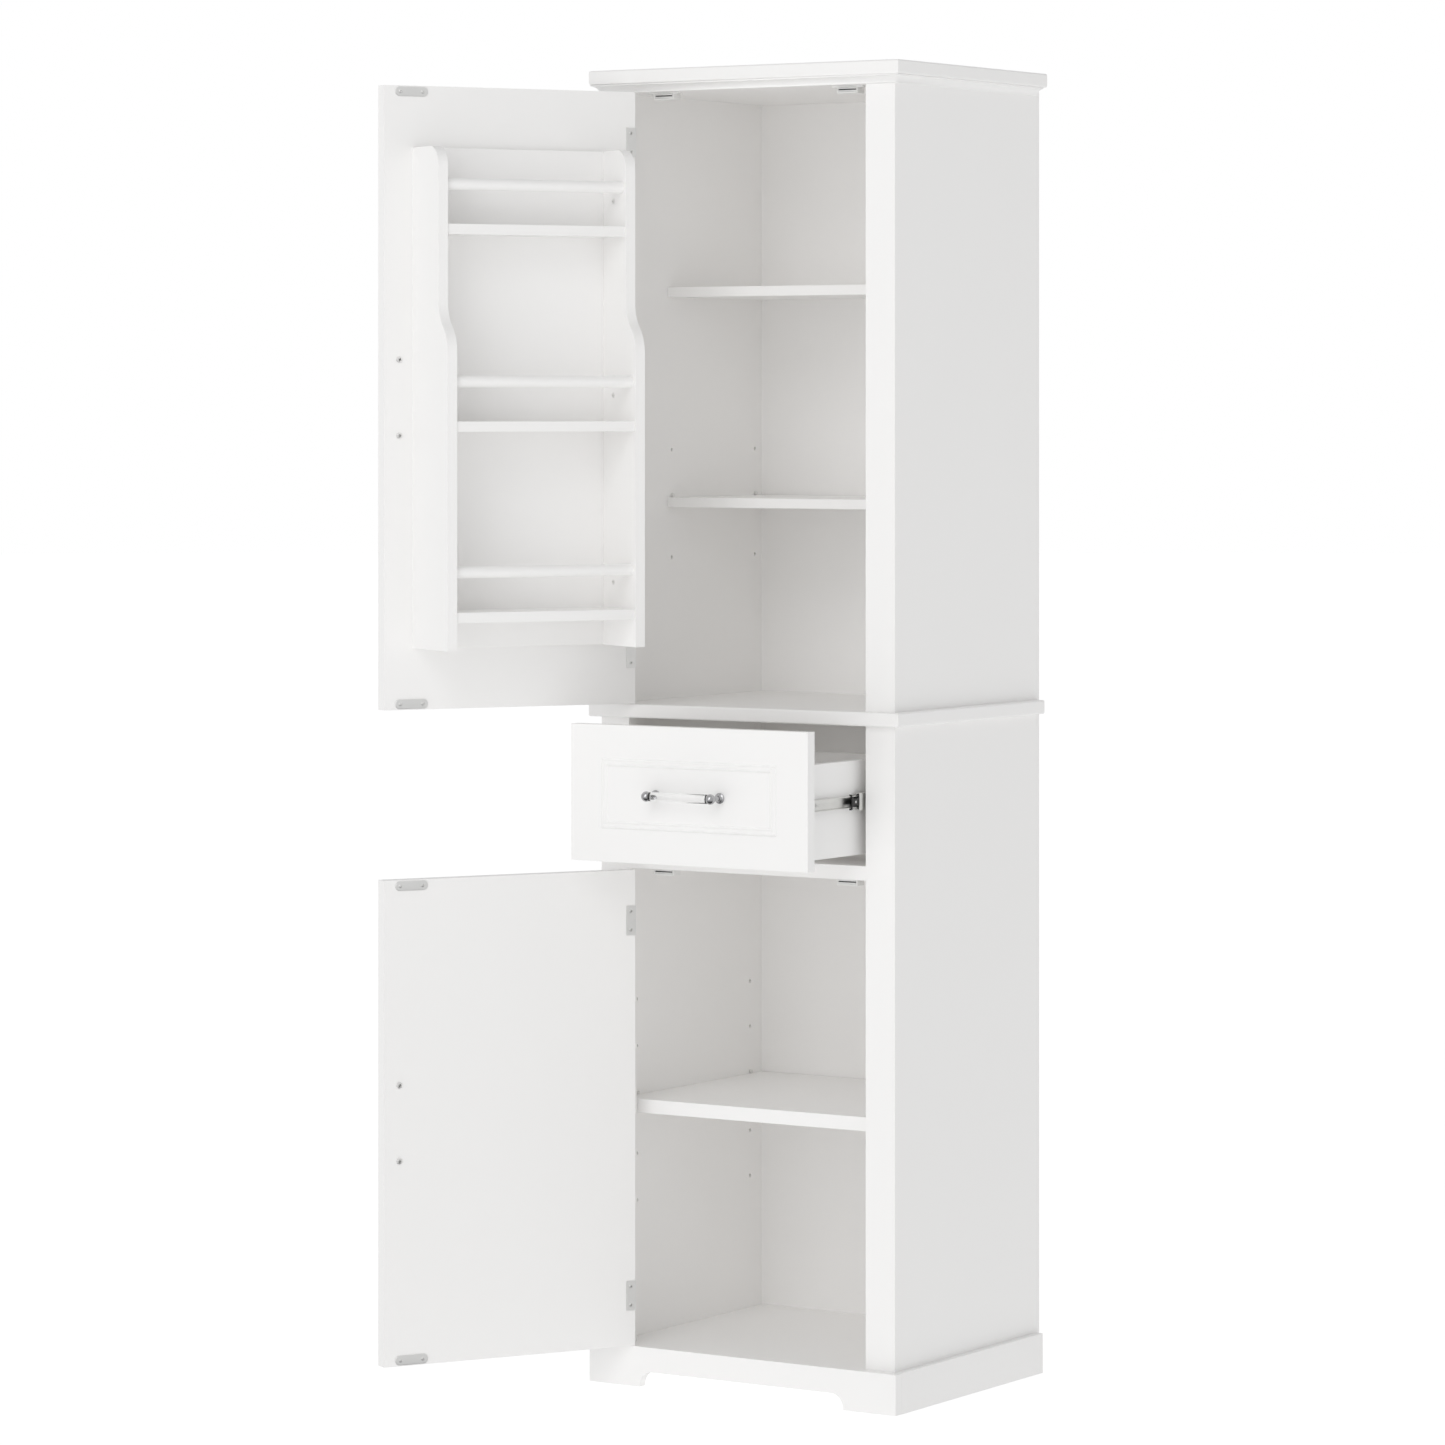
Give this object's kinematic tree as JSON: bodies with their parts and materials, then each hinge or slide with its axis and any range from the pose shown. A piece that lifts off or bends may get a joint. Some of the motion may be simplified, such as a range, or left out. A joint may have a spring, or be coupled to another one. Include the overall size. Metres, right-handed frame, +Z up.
{
  "type": "pantry cabinet",
  "caption": "Tall narrow painted pantry cabinet on a plinth: hinged doors above and below a sliding drawer, shelves inside and a storage rack on the upper door.",
  "frame": {"origin": "on the floor, at the middle of the back panel's outer face", "axes": "+X to the right as seen from the front, +Y from the front towards the wall, +Z up"},
  "size_m": [0.5993, 0.7062, 1.7],
  "materials": {
    "white_paint": "satin white lacquer on fibreboard",
    "white_back_board": "matt white film on thin board",
    "white_drawer_box": "white foil on board",
    "nickel": "satin nickel plate",
    "zinc": "bright zinc plate",
    "chrome": "polished",
    "clear_acrylic": "clear polished acrylic",
    "white_plastic": "moulded",
    "black_plastic": "moulded"
  },
  "bodies": {
    "cabinet": {"top_board": "white_paint", "sub_top": "white_paint", "cove_moulding": "white_paint", "upper_side_left": "white_paint", "upper_side_right": "white_paint", "upper_stiles": "white_paint", "upper_back": "white_back_board", "fixed_shelf": "white_paint", "upper_shelf": "white_paint", "waist_board": "white_paint", "lower_side_left": "white_paint", "lower_side_right": "white_paint", "lower_stiles": "white_paint", "lower_back": "white_back_board", "drawer_divider": "white_paint", "lower_shelf": "white_paint", "bottom_board": "white_paint", "plinth_front": "white_paint", "plinth_sides": "white_paint", "shelf_pins": "nickel", "magnetic_catches": "white_plastic", "catch_magnets": "nickel", "frame_hinge_leaves": "nickel", "hinge_pins": "nickel", "slide_spacers": "white_paint", "slide_outer_members": "zinc", "cabinet_screws": "nickel"},
    "upper_door": {"upper_door_panel": "white_paint", "upper_door_hinge_leaves": "nickel", "upper_door_strike_plates": "nickel", "upper_door_handle_rod": "clear_acrylic", "upper_door_handle_mounts": "chrome", "upper_door_screws": "nickel", "rack_left": "white_paint", "rack_right": "white_paint", "rack_back": "white_paint", "rack_shelf_bottom": "white_paint", "rack_shelf_middle": "white_paint", "rack_shelf_top": "white_paint", "rack_rails": "white_paint", "rack_screws": "nickel"},
    "lower_door": {"lower_door_panel": "white_paint", "lower_door_hinge_leaves": "nickel", "lower_door_strike_plates": "nickel", "lower_door_handle_rod": "clear_acrylic", "lower_door_handle_mounts": "chrome", "lower_door_screws": "nickel"},
    "drawer": {"drawer_front": "white_paint", "drawer_side_left": "white_drawer_box", "drawer_side_right": "white_drawer_box", "drawer_back": "white_drawer_box", "drawer_bottom": "white_back_board", "drawer_handle_rod": "clear_acrylic", "drawer_handle_mounts": "chrome", "drawer_screws": "nickel", "slide_inner_members": "zinc"},
    "slide_middles": {"slide_middle_members": "zinc", "slide_bumpers": "black_plastic"},
    "outer_cages": {"outer_ball_cages": "zinc"},
    "inner_cages": {"inner_ball_cages": "zinc"}
  },
  "joints": [
    {"name": "upper_door_hinge", "type": "hinge", "parent": "cabinet", "child": "upper_door", "pos_m": [-0.1785, -0.3683, 1.27575], "axis": [0, 0, -1], "range_deg": [-119.2, 50.8]},
    {"name": "lower_door_hinge", "type": "hinge", "parent": "cabinet", "child": "lower_door", "pos_m": [-0.1785, -0.3683, 0.35975], "axis": [0, 0, -1], "range_deg": [-119.2, 50.8]},
    {"name": "drawer_slide", "type": "slide", "parent": "cabinet", "child": "drawer", "axis": [0, -1, 0], "range_m": [-0.135, 0.065]},
    {"name": "slide_middle_travel", "type": "slide", "parent": "cabinet", "child": "slide_middles", "axis": [0, -1, 0], "range_m": [-0.0675, 0.0325]},
    {"name": "outer_cage_travel", "type": "slide", "parent": "cabinet", "child": "outer_cages", "axis": [0, -1, 0], "range_m": [-0.03375, 0.01625]},
    {"name": "inner_cage_travel", "type": "slide", "parent": "cabinet", "child": "inner_cages", "axis": [0, -1, 0], "range_m": [-0.10125, 0.04875]}
  ],
  "couplings": [
    {"joint": "slide_middle_travel", "follows": "drawer_slide", "ratio": 0.5},
    {"joint": "outer_cage_travel", "follows": "drawer_slide", "ratio": 0.25},
    {"joint": "inner_cage_travel", "follows": "drawer_slide", "ratio": 0.75}
  ]
}
